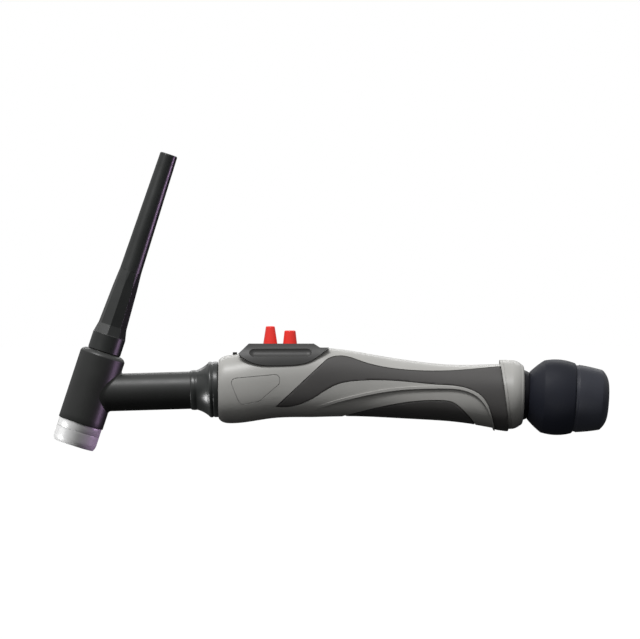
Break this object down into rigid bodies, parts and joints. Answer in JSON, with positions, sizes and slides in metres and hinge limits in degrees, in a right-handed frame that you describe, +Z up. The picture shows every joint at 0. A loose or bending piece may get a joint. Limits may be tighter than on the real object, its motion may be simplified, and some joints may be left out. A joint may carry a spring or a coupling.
{
  "type": "tig welding torch",
  "caption": "Hand-held TIG welding torch: angled head with long back cap, straight neck, soft-insert grip with press buttons and a ball-jointed rubber boot.",
  "frame": {"origin": "on the grip's centre line, half way along the hand grip with its rear collar", "axes": "+X from the torch head to the cable end, +Z up to the button side, +Y across the grip, away from the smooth side without screws"},
  "size_m": [0.3496, 0.0476, 0.1887],
  "materials": {
    "black_rubber": "satin moulded silicone rubber",
    "black_plastic": "satin moulded phenolic",
    "white_ptfe": "smooth white PTFE",
    "brass": "machined",
    "copper_tube": "drawn copper",
    "grey_shell": "fine satin moulded plastic",
    "dark_insert": "soft matte elastomer",
    "module_grey": "satin moulded plastic",
    "red_button": "smooth red plastic",
    "navy_rubber": "matte navy-black rubber",
    "joint_plastic": "smooth acetal",
    "spring_steel": "drawn wire",
    "screw_steel": "zinc plated",
    "board_green": "circuit laminate",
    "connector_white": "moulded nylon",
    "seal_rubber": "smooth O-ring"
  },
  "bodies": {
    "torch": {"torch_head_core": "brass", "head_moulding": "black_rubber", "heat_shield": "white_ptfe", "cup_gasket": "white_ptfe", "neck_tube": "copper_tube", "neck_sleeve": "black_rubber", "front_collar": "black_plastic", "neck_holder": "joint_plastic", "hose_nut": "brass", "hose_nipple": "brass", "handle_shell_left": "grey_shell", "handle_shell_right": "grey_shell", "side_grip_left": "dark_insert", "side_grip_right": "dark_insert", "belly_grip": "dark_insert", "blank_badge_left": "grey_shell", "blank_badge_right": "grey_shell", "module_housing": "module_grey", "circuit_board": "board_green", "board_connector": "connector_white", "module_clip": "black_plastic", "switch_front": "joint_plastic", "switch_rear": "joint_plastic", "button_spring_front": "spring_steel", "button_spring_rear": "spring_steel", "shell_screws": "screw_steel", "rear_collar": "grey_shell"},
    "cap_seal": {"back_cap_seal": "seal_rubber"},
    "back_cap": {"back_cap": "black_plastic", "back_cap_insert": "brass"},
    "front_button": {"button_front": "red_button"},
    "rear_button": {"button_rear": "red_button"},
    "swivel_seat": {"ball_seat": "joint_plastic"},
    "boot": {"ball_joint": "joint_plastic", "rubber_boot": "navy_rubber", "cover_clamp": "navy_rubber"}
  },
  "joints": [
    {"name": "cap_advance", "type": "slide", "parent": "torch", "child": "cap_seal", "axis": [0.3123, 0, 0.95], "range_m": [0, 0.006]},
    {"name": "cap_turn", "type": "hinge", "parent": "cap_seal", "child": "back_cap", "pos_m": [-0.1767, 0, -0.0014], "axis": [0.3123, 0, 0.95], "range_deg": [0, 2160]},
    {"name": "front_button_press", "type": "slide", "parent": "torch", "child": "front_button", "axis": [0, 0, -1], "range_m": [0, 0.0015], "stiffness_N_per_m": 400, "springref_m": -0.002, "deforming": ["button_spring_front"]},
    {"name": "rear_button_press", "type": "slide", "parent": "torch", "child": "rear_button", "axis": [0, 0, -1], "range_m": [0, 0.0015], "stiffness_N_per_m": 400, "springref_m": -0.002, "deforming": ["button_spring_rear"]},
    {"name": "boot_swivel", "type": "hinge", "parent": "torch", "child": "swivel_seat", "pos_m": [0.0908, 0, -0.00237], "axis": [0.9997, 0, -0.0262], "range_deg": [-180, 180]},
    {"name": "boot_tilt", "type": "hinge", "parent": "swivel_seat", "child": "boot", "pos_m": [0.0908, 0, -0.00237], "axis": [0, 1, 0], "range_deg": [-12, 8]}
  ],
  "couplings": [
    {"joint": "cap_turn", "follows": "cap_advance", "rad_per_m": 6283.2}
  ]
}
